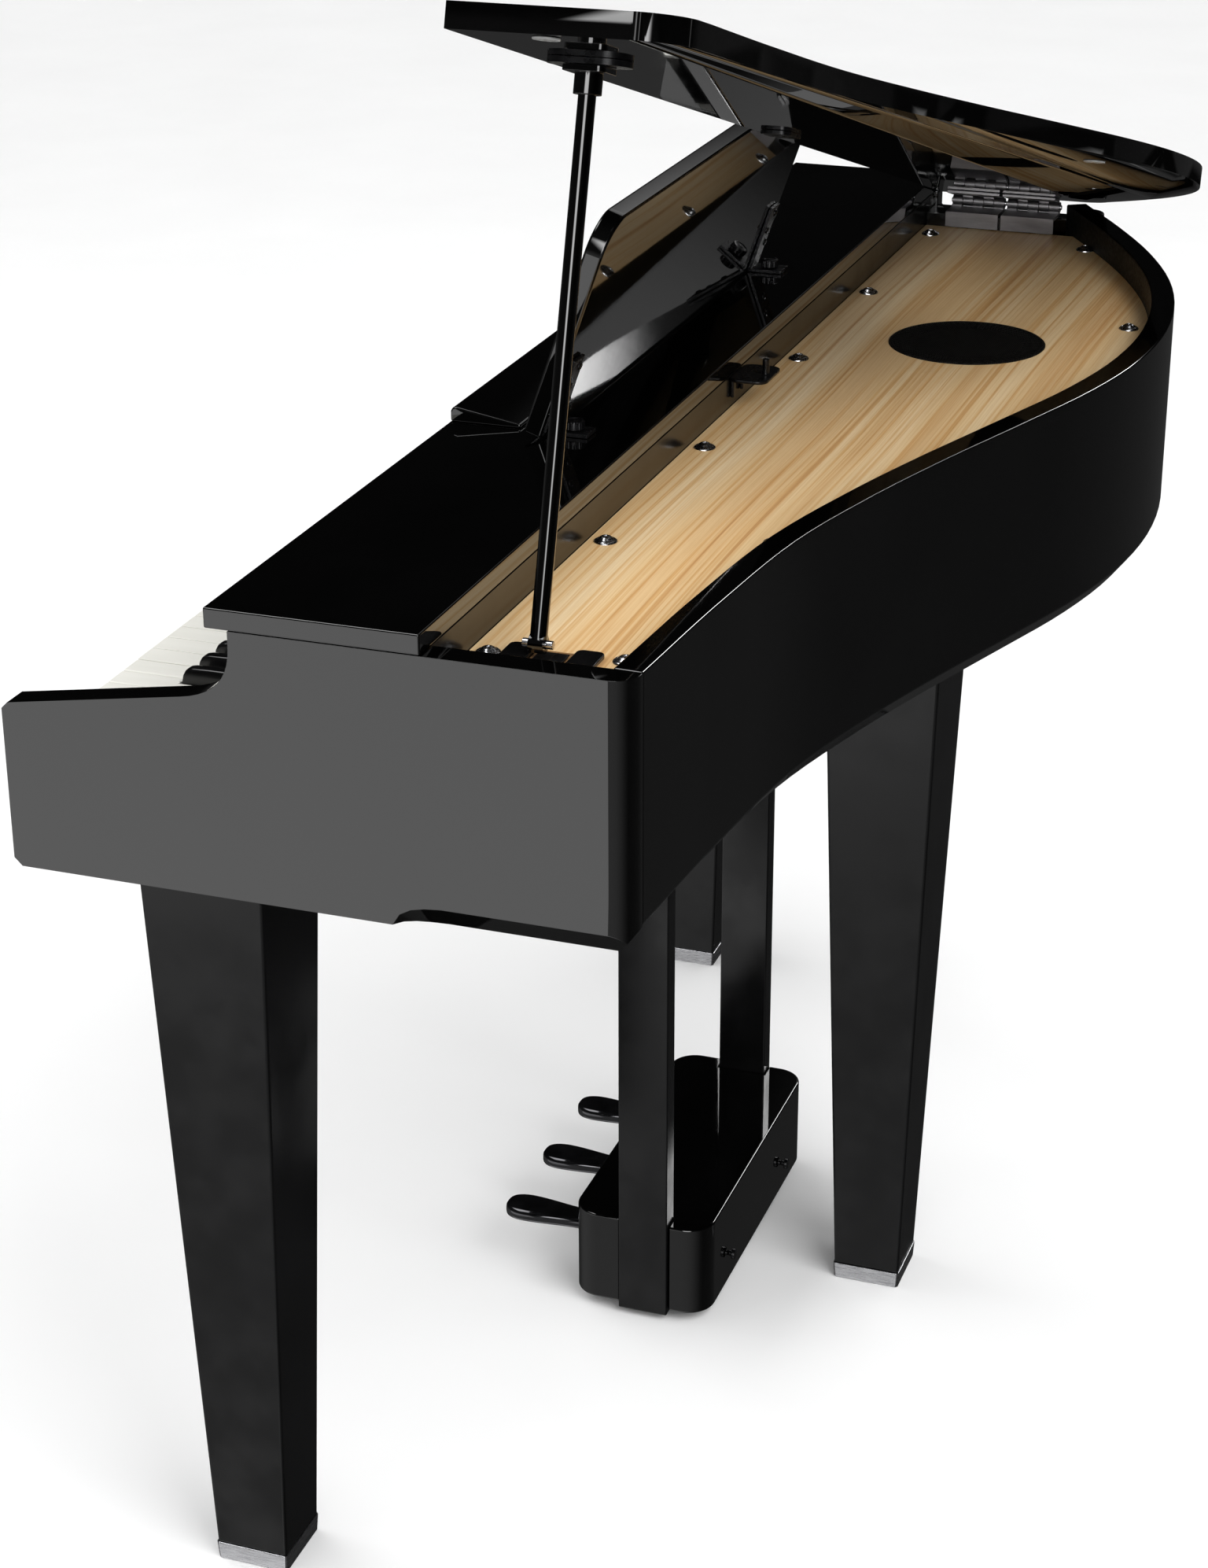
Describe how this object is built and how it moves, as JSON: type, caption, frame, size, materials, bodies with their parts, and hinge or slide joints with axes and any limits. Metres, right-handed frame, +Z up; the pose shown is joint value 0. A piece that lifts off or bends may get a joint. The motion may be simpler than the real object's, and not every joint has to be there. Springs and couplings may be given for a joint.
{
  "type": "digital grand piano",
  "caption": "Compact black grand piano with a curved tail, propped lid, music desk, keyboard with sliding cover, tapered legs and a hung pedal box.",
  "frame": {"origin": "on the floor, under the middle of the bounding box with the lid propped open", "axes": "+X towards the treble side, +Y from the player towards the tail, +Z up"},
  "size_m": [1.3966, 0.645, 1.2635],
  "materials": {
    "black_lacquer": "high gloss",
    "satin_black": "satin",
    "black_metal": "semi-gloss",
    "nickel": "satin plated",
    "black_nickel": "polished",
    "ivory_plastic": "satin",
    "painted_board": "satin",
    "spruce_veneer": "satin lacquer",
    "grille_mesh": "matt",
    "speaker_plastic": "matt",
    "circuit_board": "matt",
    "clear_bumper": "satin"
  },
  "bodies": {
    "case": {"treble_cheek": "black_lacquer", "bass_cheek": "black_lacquer", "curved_rim": "black_lacquer", "key_slip": "black_lacquer", "top_panel": "black_lacquer", "music_ledge": "black_lacquer", "music_desk": "black_lacquer", "treble_key_block": "black_lacquer", "bass_key_block": "black_lacquer", "pedal_box": "black_lacquer", "bottom_board": "satin_black", "hinge_rail": "satin_black", "prop_bracket": "satin_black", "treble_leg": "satin_black", "bass_leg": "satin_black", "tail_leg": "satin_black", "treble_post": "satin_black", "bass_post": "satin_black", "black_keys": "satin_black", "hinge_case_leaf_1": "black_metal", "hinge_case_leaf_2": "black_metal", "lid_pin_bracket": "black_metal", "desk_bracket_treble": "black_metal", "desk_bracket_bass": "black_metal", "box_thumb_screw_treble": "black_metal", "box_thumb_screw_bass": "black_metal", "hinge_pin_1": "nickel", "hinge_pin_2": "nickel", "prop_pin": "nickel", "treble_ferrule": "nickel", "bass_ferrule": "nickel", "tail_ferrule": "nickel", "pedal_axle": "nickel", "white_keys": "ivory_plastic", "belly_rail": "painted_board", "keybed": "painted_board", "soundboard": "spruce_veneer", "speaker_grille": "grille_mesh", "speaker_driver": "speaker_plastic", "main_board": "circuit_board"},
    "prop": {"lid_prop": "black_lacquer"},
    "cover": {"key_cover": "black_lacquer"},
    "key_c8": {"key_C8": "ivory_plastic"},
    "key_b7": {"key_B7": "ivory_plastic"},
    "key_a7": {"key_A7": "ivory_plastic"},
    "key_a_sharp7": {"key_A_sharp7": "satin_black"},
    "left_pedal": {"pedal_left": "black_nickel"},
    "middle_pedal": {"pedal_middle": "black_nickel"},
    "right_pedal": {"pedal_right": "black_nickel"},
    "power": {"power_button": "satin_black"},
    "volume": {"volume_knob": "satin_black"},
    "thumb_screw_treble": {"desk_thumb_screw_treble": "satin_black"},
    "thumb_screw_bass": {"desk_thumb_screw_bass": "satin_black"},
    "lid": {"lid": "black_lacquer", "prop_cup_plate": "black_metal", "striker_plate": "black_metal", "lid_bumper_front": "clear_bumper", "lid_bumper_tail": "clear_bumper", "hinge_lid_leaf_1": "black_metal", "hinge_lid_leaf_2": "black_metal"}
  },
  "joints": [
    {"name": "lid_hinge", "type": "hinge", "parent": "case", "child": "lid", "pos_m": [-0.675, 0, 0.849], "axis": [0, -1, 0], "range_deg": [0, 8]},
    {"name": "prop_fold", "type": "hinge", "parent": "case", "child": "prop", "pos_m": [0.613, 0.0415, 0.839], "axis": [0, 1, 0], "range_deg": [-72, 0]},
    {"name": "cover_slide", "type": "slide", "parent": "case", "child": "cover", "axis": [0, -0.9866, -0.1632], "range_m": [0, 0.14]},
    {"name": "key_c8_press", "type": "hinge", "parent": "case", "child": "key_c8", "pos_m": [0.5992, -0.0855, 0.74], "axis": [1, 0, 0], "range_deg": [0, 2.7], "stiffness_Nm_per_rad": 0.6, "springref_deg": -17.19},
    {"name": "key_b7_press", "type": "hinge", "parent": "case", "child": "key_b7", "pos_m": [0.5757, -0.0855, 0.74], "axis": [1, 0, 0], "range_deg": [0, 2.7], "stiffness_Nm_per_rad": 0.6, "springref_deg": -17.19},
    {"name": "key_a7_press", "type": "hinge", "parent": "case", "child": "key_a7", "pos_m": [0.5523, -0.0855, 0.74], "axis": [1, 0, 0], "range_deg": [0, 2.7], "stiffness_Nm_per_rad": 0.6, "springref_deg": -17.19},
    {"name": "key_a_sharp7_press", "type": "hinge", "parent": "case", "child": "key_a_sharp7", "pos_m": [0.567, -0.0855, 0.74], "axis": [1, 0, 0], "range_deg": [0, 2.7], "stiffness_Nm_per_rad": 0.6, "springref_deg": -17.19},
    {"name": "left_pedal_press", "type": "hinge", "parent": "case", "child": "left_pedal", "pos_m": [-0.098, -0.0085, 0.057], "axis": [1, 0, 0], "range_deg": [0, 5], "stiffness_Nm_per_rad": 12, "springref_deg": -11.46},
    {"name": "middle_pedal_press", "type": "hinge", "parent": "case", "child": "middle_pedal", "pos_m": [0, -0.0085, 0.057], "axis": [1, 0, 0], "range_deg": [0, 5], "stiffness_Nm_per_rad": 12, "springref_deg": -11.46},
    {"name": "right_pedal_press", "type": "hinge", "parent": "case", "child": "right_pedal", "pos_m": [0.098, -0.0085, 0.057], "axis": [1, 0, 0], "range_deg": [0, 5], "stiffness_Nm_per_rad": 12, "springref_deg": -11.46},
    {"name": "power_press", "type": "slide", "parent": "case", "child": "power", "axis": [0, 0, -1], "range_m": [0, 0.0015], "stiffness_N_per_m": 400, "springref_m": -0.002},
    {"name": "volume_turn", "type": "hinge", "parent": "case", "child": "volume", "pos_m": [-0.645, -0.2305, 0.757], "axis": [0, 0, 1], "range_deg": [-140, 140]},
    {"name": "thumb_turn_treble", "type": "hinge", "parent": "case", "child": "thumb_screw_treble", "pos_m": [0.261, -0.0605, 0.874], "axis": [0, 0, 1], "continuous": true},
    {"name": "thumb_turn_bass", "type": "hinge", "parent": "case", "child": "thumb_screw_bass", "pos_m": [-0.261, -0.0605, 0.874], "axis": [0, 0, 1], "continuous": true}
  ]
}
